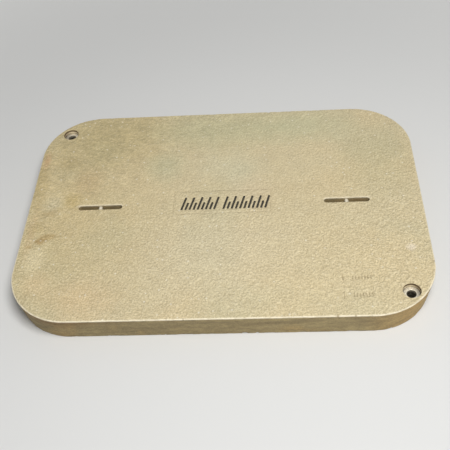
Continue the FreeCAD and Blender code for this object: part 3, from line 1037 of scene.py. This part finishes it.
@dataclass
class Casting:
    """The cast slab, with the slots, recesses, pockets and marks that it is cast with."""

    cover: Box
    pins: Sequence[Box]
    bushes: Sequence[Box]
    bushing: Bushing
    corner_radius: float = 137 * MM
    side_lean: float = 7.0
    arris: float = 2.5 * MM
    foot: float = 1.2 * MM

    # The most that neighbouring points lie apart, and how many rows or points a form has.
    edge_step: float = 3 * MM
    top_step: float = 5.2 * MM
    under_step: float = 9 * MM
    pocket_step: float = 7 * MM
    slot_step: float = 2.2 * MM
    recess_step: float = 1.6 * MM
    seam_step: float = 2.4 * MM
    mark_step: float = 2.5 * MM
    floor_step: float = 4 * MM
    arris_points: int = 7
    foot_points: int = 4
    mouth_points: int = 4
    wall_rows: int = 8
    chip_columns: tuple[int, int] = (11, 6)

    # The underside.
    rim_width: float = 36 * MM
    spine_width: float = 54 * MM
    rib_width: float = 24 * MM
    deck_thickness: float = 27 * MM
    pocket_lean: float = 6.0
    pocket_corner: float = 18 * MM
    gusset_radius: float = 128 * MM
    pocket_mouth: float = 1.5 * MM
    pocket_root: float = 9 * MM

    # The openings in the top, and how the dirt, the wear and the painted light and shade on their walls
    # change with the depth.
    slot_length: float = 102 * MM
    slot_width: float = 13 * MM
    slot_depth: float = 42 * MM
    slot_root: float = 3 * MM
    mouth: float = 1.0 * MM
    hole_edge: float = 0.5 * MM
    seat_clearance: float = 0.02 * MM
    slot_dirt_and_shade: Ramp = ((0.3 * MM, 0.0), (2 * MM, 0.12), (12 * MM, 0.20), (30 * MM, 0.9))
    slot_wear_and_highlight: Ramp = ((0.0, 0.5), (0.3 * MM, 0.9), (1.2 * MM, 0.6), (2.2 * MM, 0.0))
    # A recess's wall takes painted shadow below its mouth, and pale wear with painted light further down.
    recess_shade: Ramp = ((0.9 * MM, 0.0), (2.4 * MM, 1.0), (5.4 * MM, 1.0), (6.8 * MM, 0.10))
    recess_wear_and_light: Ramp = ((5.4 * MM, 0.0), (6.8 * MM, 0.85), (10 * MM, 0.85), (11 * MM, 0.0))

    # The mould insert's seam, the bars on it, and the ticks.
    insert: RoundedBox = RoundedBox.even(-0.5 * MM, 7.2 * MM, 111 * MM, 35.4 * MM, 4 * MM)
    seam_width: float = 1.2 * MM
    seam_depth: float = 0.3 * MM
    bar_groups: tuple[tuple[float, float, int], ...] = ((-93 * MM, -18 * MM, 9), (3 * MM, 98 * MM, 11))
    bar_foot: float = -16.5 * MM
    bar_height: float = 40 * MM
    short_bar_height: float = 23 * MM
    bar_width: float = 4.6 * MM
    bar_slant: float = 14.0
    bar_depth: float = 1.3 * MM
    tick_rows: tuple[tuple[float, float], ...] = ((256 * MM, -223 * MM), (255.5 * MM, -268 * MM))
    tick_count: int = 7
    tick_gap: float = 20 * MM
    tick_pitch: float = 6.2 * MM
    tick_height: float = 10 * MM
    tall_tick_height: float = 18 * MM
    tick_width: float = 1.8 * MM
    tick_depth: float = 0.7 * MM

    # Chips, nicks and the casting's unevenness.
    chips: tuple[Chip, ...] = (
        Chip(239 * MM, -320 * MM, 6 * MM, 1.6 * MM),
        Chip(274 * MM, -320 * MM, 4.5 * MM, 1.2 * MM),
        Chip(447 * MM, -185 * MM, 6 * MM, 1.2 * MM),
        Chip(-70 * MM, -320 * MM, 4 * MM, 0.8 * MM),
        Chip(-450 * MM, 60 * MM, 7 * MM, 1.2 * MM),
        Chip(110 * MM, 320 * MM, 8 * MM, 1.3 * MM),
    )
    foot_chips: int = 34
    foot_chip_lengths: tuple[float, float] = (5 * MM, 18 * MM)
    foot_chip_depths: tuple[float, float] = (0.5 * MM, 1.9 * MM)
    chip_reach: float = 3 * MM
    chip_slope: float = 0.7
    nick_depth: float = 1.3 * MM
    crumb_depth: float = 1.0 * MM
    top_swell: float = 0.22 * MM
    top_ripple: float = 0.10 * MM
    ceiling_swell: float = 0.4 * MM
    seed: int = 11

    @property
    def height(self) -> float:
        """The top face's height."""
        return self.cover.high.z

    @property
    def sharp_outline(self) -> RoundedBox:
        """The top face's outline, as if its arris were sharp.

        The arris is an arc of radius r between the top and a side that leans by a. The sharp
        edge lies r (1 + sin a) / cos a outside the arc's centre, and the box r.

        Returns:
            The outline.
        """
        lean = math.radians(self.side_lean)
        more = self.arris * ((1.0 + math.sin(lean)) / math.cos(lean) - 1.0)
        half = self.cover.half
        return RoundedBox.even(0.0, 0.0, half.x + more, half.y + more, self.corner_radius)

    @property
    def shoulder_line(self) -> RoundedBox:
        """The line that the centre of the arris's arc runs along.

        Returns:
            The line as an outline.
        """
        sharp, half = self.sharp_outline, self.cover.half
        less = sharp.half_length - (half.x - self.arris)
        return RoundedBox.even(
            0.0, 0.0, sharp.half_length - less, sharp.half_width - less, self.corner_radius - less
        )

    @property
    def mouth_arc(self) -> Array:
        """The rounded mouth of an opening in the top, from the top face to the wall."""
        return arc(self.mouth, self.height - self.mouth, self.mouth, 90.0, 180.0, self.mouth_points)

    def side_profile(self) -> Array:
        """The profile of the slab's side, from the top face to the underside.

        Returns:
            The arris's arc, the leaning side, and a small arc at the foot.
        """
        lean = math.radians(self.side_lean)
        shoulder = self.height - self.arris
        top_edge = arc(0.0, shoulder, self.arris, 90.0, -self.side_lean, self.arris_points)
        inner = self.arris - self.foot
        level = shoulder - inner * math.sin(lean)
        across = inner * math.cos(lean) - (level - self.foot) * math.tan(lean)
        foot_edge = arc(across, self.foot, self.foot, -self.side_lean, -90.0, self.foot_points)
        return np.vstack((top_edge, between(top_edge[-1], foot_edge[0], self.wall_rows), foot_edge))

    def scatter_chips(self) -> tuple[list[Chip], list[Chip]]:
        """Settles where the slab's two edges are chipped.

        Returns:
            The chips of the top edge, which are listed, and those of the bottom edge, which are strewn at
            random.
        """
        path = self.shoulder_line
        length = path.stretches()[0].sum()
        random = np.random.default_rng(self.seed)
        spots = path.walk(random.uniform(0.0, length, self.foot_chips))[0]
        lengths = random.uniform(*self.foot_chip_lengths, self.foot_chips)
        depths = random.uniform(*self.foot_chip_depths, self.foot_chips)
        return list(self.chips), [Chip(*spot, *size) for spot, size in zip(spots, zip(lengths, depths))]

    def nearest_station(self, chip: Chip) -> float:
        """Finds the place along the shoulder line that lies nearest to a chip.

        Args:
            chip: The chip.

        Returns:
            The distance along the line, to the half millimetre.
        """
        path = self.shoulder_line
        dense = np.arange(0.0, path.stretches()[0].sum(), 0.5 * MM)
        return float(dense[np.hypot(*(path.walk(dense)[0] - (chip.x, chip.y)).T).argmin()])

    def side_stations(self) -> Array:
        """Places along the shoulder line for the side's columns, which crowd at the chips.

        Returns:
            Distances along the line. Those within 0.3 mm of the one before are left out.
        """
        path = self.shoulder_line
        last = path.stretches()[0].sum() - 0.4 * MM
        columns = [path.stations(self.edge_step, 2.0)]
        for chips, count in zip(self.scatter_chips(), self.chip_columns):
            for chip in chips:
                at, half = self.nearest_station(chip), chip.length / 2
                columns.append(np.linspace(at - half, at + half, count))
        along = np.unique(np.clip(np.concatenate(columns), 0.0, last))
        return along[np.diff(along, prepend=-1.0) > 0.3 * MM]

    def break_edge(
        self,
        shell: Shell,
        side: Sequence[Loop],
        along: Array,
        row: int,
        rise: float,
        chips: Sequence[Chip],
        nicks: Array,
    ) -> None:
        """Takes chips and nicks off an edge of the side.

        A chip's depth follows (1 - t^2)^0.6 over its length, roughened a little. A point moves
        by the chip's slope times the depth at its station times exp(-(d / r)^2), both inwards
        and up or down, where d is its distance from the edge and r is the chips' reach.

        Args:
            shell: The slab's shell.
            side: The side's loops.
            along: The loops' stations.
            row: The edge's place in the side's profile.
            rise: 1 where points move up and -1 where they move down.
            chips: The chips.
            nicks: Depth of the small nicks at each station.
        """
        depth = nicks.copy()
        broken = np.zeros(len(along))
        rough = 1.0 + 0.35 * unevenness(along[:, None], 1.5 * MM, self.seed + 2)
        for chip in chips:
            away = (along - self.nearest_station(chip)) / (chip.length / 2)
            share = np.maximum(1.0 - away**2, 0.0) ** 0.6
            depth = np.maximum(depth, chip.depth * share * rough)
            broken = np.maximum(broken, share)
        outwards = self.shoulder_line.walk(along)[1]
        profile = self.side_profile()
        for loop, away in zip(side, np.hypot(*(profile - profile[row]).T)):
            near = math.exp(-((away / self.chip_reach) ** 2))
            if near > 0.02:
                shift = self.chip_slope * near * depth
                shell.points[loop.indices, :2] -= outwards * shift[:, None]
                shell.points[loop.indices, 2] += rise * shift
                shell.mark("broken", loop.indices, broken * min(1.0, 1.6 * near))

    def chip_edges(self, shell: Shell, side: Sequence[Loop], along: Array) -> None:
        """Chips the slab's top and bottom edges, after the sheets that end there are laid.

        Args:
            shell: The slab's shell.
            side: The side's loops.
            along: The loops' stations.
        """
        on_top, at_foot = self.scatter_chips()
        nicks = np.maximum(unevenness(along[:, None], 6 * MM, self.seed) - 0.45, 0.0)
        crumbs = np.maximum(unevenness(along[:, None], 11 * MM, self.seed + 1) - 0.3, 0.0)
        top_row, foot_row = self.arris_points // 2, 1 - self.foot_points
        self.break_edge(shell, side, along, top_row, -1.0, on_top, nicks * self.nick_depth)
        self.break_edge(shell, side, along, foot_row, 1.0, at_foot, crumbs * self.crumb_depth)

    def sink(
        self,
        shell: Shell,
        shape: RoundedBox,
        step: float,
        profile: Array,
        marks: dict[str, Array] | None = None,
    ) -> list[Loop]:
        """Carries a profile down into the slab from the outline of an opening.

        Args:
            shell: The slab's shell.
            shape: The opening.
            step: The most that neighbouring stations lie apart.
            profile: The opening's wall, from its mouth down.
            marks: Strength of each mark at each point of the profile.

        Returns:
            One loop for each point of the profile.
        """
        loops = shell.carry(shape, shape.stations(step, 9.0), profile, Facing.INWARDS)
        for name, strengths in (marks or {}).items():
            for loop, strength in zip(loops, strengths):
                shell.mark(name, loop.indices, float(strength))
        return loops

    def sink_slots(self, shell: Shell) -> list[Loop]:
        """Sinks a pull slot round each pin, with a rounded mouth and root.

        Args:
            shell: The slab's shell.

        Returns:
            The mouths' loops.
        """
        floor = self.height - self.slot_depth
        root = arc(-self.slot_root, floor + self.slot_root, self.slot_root, 0.0, -90.0, 5)
        wall = between(self.mouth_arc[-1], root[0], self.wall_rows)
        profile = np.vstack((self.mouth_arc, wall, root))
        depth = self.height - profile[:, 1]
        # The slot's walls and floor darken downwards with dirt and painted shade.
        dirt_and_shade, wear_and_light = ramp(depth, self.slot_dirt_and_shade), ramp(depth, self.slot_wear_and_highlight)
        mouths = []
        for pin in self.pins:
            shape = RoundedBox.even(
                pin.centre.x, 0.0, self.slot_length / 2, self.slot_width / 2, self.slot_width / 2
            )
            loops = self.sink(shell, shape, self.slot_step, profile, {"dirt_and_shade": dirt_and_shade})
            # Only the rear half of the mouth, which faces the front, is made pale: wear and a painted
            # highlight.
            for loop, strength in zip(loops, wear_and_light):
                behind = np.clip(shell.points[loop.indices, 1] * 3 / self.slot_width, 0.0, 1.0)
                shell.mark("wear_and_light", loop.indices, strength * behind)
            inner = shell.cover(loops[-1], [], self.floor_step, Facing.UP)
            shell.mark("dirt_and_shade", inner, dirt_and_shade[-1])
            mouths.append(loops[0])
        return mouths

    def sink_recesses(self, shell: Shell) -> tuple[list[Loop], list[Loop]]:
        """Sinks a bolt's recess over each bush, with the bush's hole below it.

        Args:
            shell: The slab's shell.

        Returns:
            The loops of the mouths on top and those of the holes below.
        """
        mouths, undersides = [], []
        for bush in self.bushes:
            seat = bush.high.z - self.bushing.flange
            radius = bush.half.x
            sleeve = self.bushing.bore / 2 + self.bushing.wall - radius
            wall = between(self.mouth_arc[-1], np.array((0.0, seat)), self.wall_rows)
            below = np.array(
                (
                    (self.seat_clearance, seat),
                    (sleeve, seat),
                    (sleeve, self.hole_edge),
                    (sleeve + self.hole_edge, 0.0),
                )
            )
            profile = np.vstack((self.mouth_arc, wall, below))
            depth = self.height - profile[:, 1]
            # Painted shadow below the mouth, then pale wear and painted light lower on the wall.
            marks = {"dirt_and_shade": ramp(depth, self.recess_shade), "wear_and_light": ramp(depth, self.recess_wear_and_light)}
            shape = RoundedBox.circle(bush.centre.x, bush.centre.y, radius)
            loops = self.sink(shell, shape, self.recess_step, profile, marks)
            # The half of the wall towards the cover's end is darkened with painted shadow.
            for loop in loops[self.mouth_points :]:
                outer = (shell.points[loop.indices, 0] - bush.centre.x) * np.sign(bush.centre.x) / radius
                shell.mark("dirt_and_shade", loop.indices, 0.75 * np.clip(outer, 0.0, 1.0))
            mouths.append(loops[0])
            undersides.append(loops[-1])
        return mouths, undersides

    def bars(self) -> list[RoundedBox]:
        """The marking in the middle: two groups of slanted bars, tall and short by turns.

        A bar's middle lies half its height from its foot, along the slant.

        Returns:
            The bars' outlines.
        """
        slant = math.radians(self.bar_slant)
        made = []
        for first, last, count in self.bar_groups:
            for number, x in enumerate(np.linspace(first, last, count)):
                height = self.short_bar_height if number % 2 else self.bar_height
                middle = height / 2
                made.append(
                    RoundedBox.even(
                        x + middle * math.sin(slant),
                        self.bar_foot + middle * math.cos(slant),
                        middle,
                        self.bar_width / 2,
                        self.bar_width / 2.4,
                        90.0 - self.bar_slant,
                    )
                )
        return made

    def ticks(self) -> list[RoundedBox]:
        """The faint ticks near the front right corner: a tall one in each row, then short ones.

        Returns:
            The ticks' outlines.
        """
        half = self.tick_width / 2
        made = []
        for first, y in self.tick_rows:
            made.append(RoundedBox.even(first, y, half, self.tall_tick_height / 2, half * 0.9))
            for x in first + self.tick_gap + np.arange(self.tick_count) * self.tick_pitch:
                made.append(RoundedBox.even(x, y, half, self.tick_height / 2, half * 0.9))
        return made

    def sink_mark(
        self, shell: Shell, shape: RoundedBox, wall: Array, kind: str, strengths: Sequence[float]
    ) -> Loop:
        """Sinks a bar or a tick with a flat floor.

        Args:
            shell: The slab's shell.
            shape: The bar or tick.
            wall: The profile of its wall.
            kind: What it is darkened with: the mark of dirt and painted shade, or paint.
            strengths: How much, at each point of the wall. The last holds for the floor.

        Returns:
            The mouth's loop.
        """
        loops = self.sink(shell, shape, self.mark_step, wall, {kind: np.array(strengths)})
        floor = shell.cover(loops[-1], [], self.floor_step, Facing.UP)
        shell.mark(kind, floor, strengths[-1])
        return loops[0]

    def lay_top(self, shell: Shell, rim: Loop, openings: Sequence[Loop]) -> None:
        """Lays the top face, with the mould insert's seam, the bars on the insert and the ticks.

        Args:
            shell: The slab's shell.
            rim: The side's uppermost loop.
            openings: Mouths of the slots and recesses.
        """
        top, half = self.height, self.seam_width / 2
        low = top - self.seam_depth
        seam = np.array(((half, top), (half * 0.4, low), (-half * 0.4, low), (-half, top)))
        outer, *groove, inner = self.sink(shell, self.insert, self.seam_step, seam)
        for loop in groove:
            shell.mark("dirt_and_shade", loop.indices, 0.42)

        across = np.array((0.2, -0.25, -0.5)) * MM
        wall = np.column_stack((across, top - np.array((0.0, 0.8, 1.0)) * self.tick_depth))
        ticks = [self.sink_mark(shell, shape, wall, "dirt_and_shade", (0.0, 0.42, 0.50)) for shape in self.ticks()]
        shell.cover(rim, [*openings, outer, *ticks], self.top_step, Facing.UP, self.seed)

        across = np.array((0.2, 0.0, -0.15, -0.5)) * MM
        down = np.array((0.0, 0.25 * MM, 0.9 * self.bar_depth, self.bar_depth))
        wall = np.column_stack((across, top - down))
        bars = [self.sink_mark(shell, shape, wall, "paint", (0.0, 1.0, 1.0, 1.0)) for shape in self.bars()]
        shell.cover(inner, bars, self.top_step, Facing.UP, self.seed + 1)

    def pocket_shapes(self) -> list[RoundedBox]:
        """The outlines of the eight pockets, between the rim, the spine and the cross ribs.

        Returns:
            The outlines at the underside. Beside the slab's corners, an outer pocket has one
            wide corner.
        """
        sharp = self.sharp_outline
        run = self.height * math.tan(math.radians(self.side_lean))
        pan_x = sharp.half_length - run - self.rim_width
        pan_y = sharp.half_width - run - self.rim_width
        half_rib, half_spine = self.rib_width / 2, self.spine_width / 2
        inner_end = half_rib + (pan_x - 3 * half_rib) / 2
        corners = ((1, -1), (1, 1), (-1, 1), (-1, -1))
        spans = ((half_rib, inner_end, False), (inner_end + self.rib_width, pan_x, True))
        made = []
        for side_x, side_y in corners:
            for near, far, at_end in spans:
                radii = tuple(
                    self.gusset_radius if at_end and corner == (side_x, side_y) else self.pocket_corner
                    for corner in corners
                )
                x, y = side_x * (near + far) / 2, side_y * (half_spine + pan_y) / 2
                made.append(RoundedBox(x, y, (far - near) / 2, (pan_y - half_spine) / 2, radii))
        return made

    def cut_pockets(self, shell: Shell) -> list[Loop]:
        """Cuts the pockets upwards into the slab, with leaning walls and a rounded root.

        Args:
            shell: The slab's shell.

        Returns:
            The loops of the pockets' mouths.
        """
        lean = math.radians(self.pocket_lean)
        ceiling = self.height - self.deck_thickness
        root_level = ceiling - self.pocket_root
        meet = root_level + self.pocket_root * math.sin(lean)
        root_across = -meet * math.tan(lean) - self.pocket_root * math.cos(lean)
        mouth_arc = arc(self.pocket_mouth, self.pocket_mouth, self.pocket_mouth, 270.0, 180.0, 4)
        root = arc(root_across, root_level, self.pocket_root, self.pocket_lean, 90.0, 6)
        profile = np.vstack((mouth_arc, between(mouth_arc[-1], root[0], 4), root))
        mouths = []
        for number, shape in enumerate(self.pocket_shapes()):
            loops = shell.carry(shape, shape.stations(self.pocket_step, 12.0), profile, Facing.OUTWARDS)
            shell.cover(loops[-1], [], self.under_step, Facing.DOWN, self.seed + number)
            mouths.append(loops[0])
        return mouths

    def weather(self, shell: Shell) -> None:
        """Gives the slab the slight unevenness of a casting.

        The top sinks in soft swells and ripples, with a weight that falls smoothly to 0 over the
        3 mm below it. The pockets' ceilings swell, with a weight that rises over the 12 mm below
        them. The slab's own side is left out.

        Args:
            shell: The slab's shell.
        """
        flat, level = shell.points[:, :2], shell.points[:, 2].copy()
        near_top = np.clip((level - (self.height - 3 * MM)) / (3 * MM), 0.0, 1.0)
        swells = 0.5 + 0.5 * unevenness(flat, 75 * MM, self.seed + 5)
        ripples = 0.5 + 0.5 * unevenness(flat, 19 * MM, self.seed + 6)
        shell.points[:, 2] -= near_top**2 * (swells * self.top_swell + ripples * self.top_ripple)
        ceiling = self.height - self.deck_thickness
        within = (np.abs(flat) < np.array(self.cover.half.xy) - 40 * MM).all(axis=1)
        under = within & (level < ceiling + 1e-6)
        weight = np.where(under, np.clip((level - (ceiling - 12 * MM)) / (12 * MM), 0.0, 1.0), 0.0)
        shell.points[:, 2] -= weight * self.ceiling_swell * unevenness(flat, 34 * MM, self.seed + 7)

    def build(self) -> bpy.types.Object:
        """Builds the slab.

        Returns:
            The slab's object.
        """
        shell = Shell()
        along = self.side_stations()
        side = shell.carry(self.shoulder_line, along, self.side_profile(), Facing.OUTWARDS)
        slot_mouths = self.sink_slots(shell)
        recess_mouths, hole_ends = self.sink_recesses(shell)
        self.lay_top(shell, side[0], [*slot_mouths, *recess_mouths])
        pocket_mouths = self.cut_pockets(shell)
        shell.cover(side[-1], [*pocket_mouths, *hole_ends], self.under_step, Facing.DOWN, self.seed)
        self.chip_edges(shell, side, along)
        self.weather(shell)
        made = shell.make("cover_casting", 50.0)
        finish = PolymerConcrete(self.sharp_outline, self.height)
        made.data.materials.append(finish.dress())
        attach(made, "root")
        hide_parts("cover")
        return made


@dataclass
class Steelwork:
    """The lifting pins and the bolts' bushes, which are cast into the slab."""

    pins: dict[str, Box]
    bushes: dict[str, Box]
    bushing: Bushing
    finish: WornSteel
    step: float = 1 * MM
    bore_mouth: float = 0.6 * MM
    flange_edge: float = 0.3 * MM
    flange_shade: Ramp = ((0.0, 0.0), (0.45, 0.05), (0.8, 0.90), (1.0, 1.0))
    pin_edge: float = 0.4 * MM
    pin_rust: float = 0.25
    pin_end_darkening: Ramp = ((4 * MM, 0.1), (6.5 * MM, 0.8))
    hook_reach: float = 4 * MM
    worn_by_hooks: float = 0.35 * MM

    def turn_bush(self, node: str, name: str, rust: float) -> bpy.types.Object:
        """Turns a flanged bush: its closed section carried round the bore.

        Args:
            node: The bush's node.
            name: The new piece's name.
            rust: How rusty it is, from 0 to 1.

        Returns:
            The bush's object.
        """
        box = self.bushes[node]
        top, low, seat = box.high.z, box.low.z, box.high.z - self.bushing.flange
        flange, sleeve, edge = box.half.x - self.bushing.bore / 2, self.bushing.wall, self.flange_edge
        mouth_arc = arc(self.bore_mouth, top - self.bore_mouth, self.bore_mouth, 180.0, 90.0, 5)
        face = between(mouth_arc[-1], np.array((flange - edge, top)), 5)
        edge_arc = arc(flange - edge, top - edge, edge, 90.0, 0.0, 4)
        lower = np.array(((flange, seat), (sleeve, seat), (sleeve, low), (0.0, low)))
        bore = between(lower[-1], mouth_arc[0], 6)
        section = np.vstack((mouth_arc, face, edge_arc, lower, bore))
        shell = Shell()
        shape = RoundedBox.circle(box.centre.x, box.centre.y, self.bushing.bore / 2)
        loops = shell.carry(shape, shape.stations(self.step, 5.0), section, Facing.OUTWARDS, closed=True)
        # The flange is darkened with painted shade towards its rim at the recess wall and on its sides
        # along the cover, most towards the cover's end; the bore is dark all through with dirt and painted
        # shade.
        for loop, (across, level) in zip(loops, section):
            rim_shade = ramp(across / flange, self.flange_shade)
            outer = (shell.points[loop.indices, 0] - box.centre.x) * np.sign(box.centre.x) / box.half.x
            side_shade = np.maximum(rim_shade, np.where(outer > 0.0, 0.80, 0.35)) * np.abs(outer)
            shell.mark("dirt_and_shade", loop.indices, side_shade if level > seat else 1.0)
        return self.fit(shell, node, name, rust)

    def turn_pin(self, node: str, name: str) -> bpy.types.Object:
        """Turns a lifting pin across a slot, hollowed a little below its middle by the hooks.

        It is turned upright and then laid down. With t the place along the pin, the hollow
        follows exp(-(t / r)^2), where r is the hooks' reach, on the pin's lower half only.

        Args:
            node: The pin's node.
            name: The new piece's name.

        Returns:
            The pin's object.
        """
        box = self.pins[node]
        radius, half = box.half.x, box.half.y
        edge = self.pin_edge
        upper = arc(-edge, half - edge, edge, 90.0, 0.0, 4)
        profile = np.vstack((upper, between(upper[-1], upper[-1] * (1, -1), 23), upper[::-1] * (1, -1)))
        shell = Shell()
        shape = RoundedBox.circle(0.0, 0.0, radius)
        loops = shell.carry(shape, shape.stations(self.step, 7.5), profile, Facing.OUTWARDS)
        shell.cover(loops[0], [], 3 * MM, Facing.UP)
        shell.cover(loops[-1], [], 3 * MM, Facing.DOWN)
        x, y, along = shell.points.T
        hollow = np.exp(-((along / self.hook_reach) ** 2)) * np.clip(-y / radius, 0.0, 1.0)
        y += self.worn_by_hooks * hollow
        # The pin darkens towards its ends, next to the slot's walls.
        shell.mark("dirt_and_shade", np.arange(len(x)), ramp(np.abs(along), self.pin_end_darkening))
        shell.points = np.column_stack((x, -along, y)) + tuple(box.centre)
        return self.fit(shell, node, name, self.pin_rust)

    def fit(self, shell: Shell, node: str, name: str, rust: float) -> bpy.types.Object:
        """Makes a piece in place of its node and dresses it.

        Args:
            shell: The piece's shell.
            node: The node that it stands for.
            name: The piece's name.
            rust: How rusty it is, from 0 to 1.

        Returns:
            The piece's object.
        """
        made = shell.make(name, 40.0)
        made.data.materials.append(self.finish.dress(f"{name}_steel", rust))
        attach(made, "root")
        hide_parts(node)
        return made

    def build(self) -> list[bpy.types.Object]:
        """Builds the pins and the bushes."""
        return [
            self.turn_pin("lift_pin_left", "left_pin"),
            self.turn_pin("lift_pin_right", "right_pin"),
            self.turn_bush("bolt_bush_front_right", "front_right_bush", 0.15),
            self.turn_bush("bolt_bush_rear_left", "rear_left_bush", 0.35),
        ]


@dataclass
class Studio:
    """The floor, the light and the camera."""

    paper: Colour = screen(222, 222, 220)
    floor_radius: float = 3.0
    bend_start: float = 2.0
    bend_radius: float = 1.5
    wall_height: float = 1.2
    fade: tuple[float, float] = (0.6, 2.2)
    sky_strength: float = 0.22
    backdrop_strength: float = 1.0
    lamp_place: tuple[float, float, float] = (0.55, -1.00, 2.45)
    lamp_size: float = 1.3
    lamp_power: float = 62.0
    camera_place: tuple[float, float, float] = (0.12646, -1.21034, 1.32070)
    camera_aim: tuple[float, float, float] = (0.00831, -0.06652, 0.06400)
    camera_roll: float = 6.0585
    camera_lens: float = 61.32
    sensor: float = 36.0

    def lay_floor(self) -> bpy.types.Object:
        """Lays a round paper floor, whose edge bends up into a low wall all round.

        The bend starts at a distance outside the round middle. Away from the cover, the floor
        fades into an even pale backdrop, for the camera only.

        Returns:
            The floor's object.
        """
        bend = arc(self.bend_start, self.bend_radius, self.bend_radius, -90.0, 0.0, 16)
        profile = np.vstack(((0.0, 0.0), bend, bend[-1] + (0.0, self.wall_height)))
        shell = Shell()
        shape = RoundedBox.circle(0.0, 0.0, self.floor_radius)
        loops = shell.carry(shape, shape.stations(1.0, 3.0), profile, Facing.OUTWARDS)
        shell.cover(loops[0], [], 0.5, Facing.UP)
        floor = shell.make("studio_floor", 60.0)
        material, graph = new_material("studio_paper")
        x, y, _ = graph.split(graph.place())
        seen = Field(graph, graph.node("ShaderNodeLightPath").outputs["Is Camera Ray"])
        faded = ((x * x + y * y) ** 0.5).rise(*self.fade) * seen
        paper = graph.node("ShaderNodeBsdfPrincipled", inputs={"Base Color": self.paper, "Roughness": 0.9})
        glow = graph.node("ShaderNodeEmission", inputs={"Color": self.paper, "Strength": 1.0})
        shaders = (Field(graph, made.outputs[0]) for made in (paper, glow))
        mixed = graph.node("ShaderNodeMixShader", inputs=dict(enumerate((faded, *shaders))))
        graph.node("ShaderNodeOutputMaterial", inputs={"Surface": Field(graph, mixed.outputs[0])})
        floor.data.materials.append(material)
        return floor

    def light(self) -> None:
        """Hangs one large soft lamp over the cover and sets the sky round it."""
        lamp = bpy.data.lights.new("overhead_lamp", "AREA")
        lamp.shape = "DISK"
        lamp.size = self.lamp_size
        lamp.energy = self.lamp_power
        hung = bpy.data.objects.new("overhead_lamp", lamp)
        hung.location = self.lamp_place
        hung.rotation_euler = (-Vector(self.lamp_place)).to_track_quat("-Z", "Y").to_euler()
        bpy.context.scene.collection.objects.link(hung)

        world = bpy.data.worlds.new("studio_sky")
        bpy.context.scene.world = world
        world.use_nodes = True
        graph = Graph(world.node_tree)
        rays = graph.node("ShaderNodeLightPath").outputs
        seen = Field(graph, rays["Is Camera Ray"])
        for kind in ("Is Glossy Ray", "Is Transmission Ray"):
            seen = seen.most(Field(graph, rays[kind]))
        strength = seen * (self.backdrop_strength - self.sky_strength) + self.sky_strength
        sky = graph.node("ShaderNodeBackground", inputs={"Color": (1.0, 1.0, 1.0), "Strength": strength})
        graph.node("ShaderNodeOutputWorld", inputs={"Surface": Field(graph, sky.outputs["Background"])})

    def place_camera(self) -> None:
        """Puts the camera where the photograph was taken from."""
        data = bpy.data.cameras.new("camera")
        data.lens = self.camera_lens
        data.sensor_width = self.sensor
        camera = bpy.data.objects.new("camera", data)
        aim = (Vector(self.camera_aim) - Vector(self.camera_place)).to_track_quat("-Z", "Y").to_matrix()
        roll = Matrix.Rotation(-math.radians(self.camera_roll), 3, "Z")
        camera.matrix_world = Matrix.Translation(self.camera_place) @ (aim @ roll).to_4x4()
        bpy.context.scene.collection.objects.link(camera)
        bpy.context.scene.camera = camera

    def build(self) -> None:
        """Sets up the studio."""
        self.lay_floor()
        self.light()
        self.place_camera()
        bpy.context.scene.view_settings.view_transform = "Standard"


def main() -> None:
    """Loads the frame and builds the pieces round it."""
    logging.basicConfig(level=logging.INFO, format="%(name)s: %(message)s")
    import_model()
    pins = {name: Box.of(name) for name in ("lift_pin_left", "lift_pin_right")}
    bushes = {name: Box.of(name) for name in ("bolt_bush_front_right", "bolt_bush_rear_left")}
    bushing = Bushing()
    slab = Casting(Box.of("cover"), list(pins.values()), list(bushes.values()), bushing).build()
    log.info("%s stands for the cover", slab.name)
    for piece in Steelwork(pins, bushes, bushing, WornSteel()).build():
        log.info("%s is steel", piece.name)
    Studio().build()


if __name__ == "__main__":
    main()
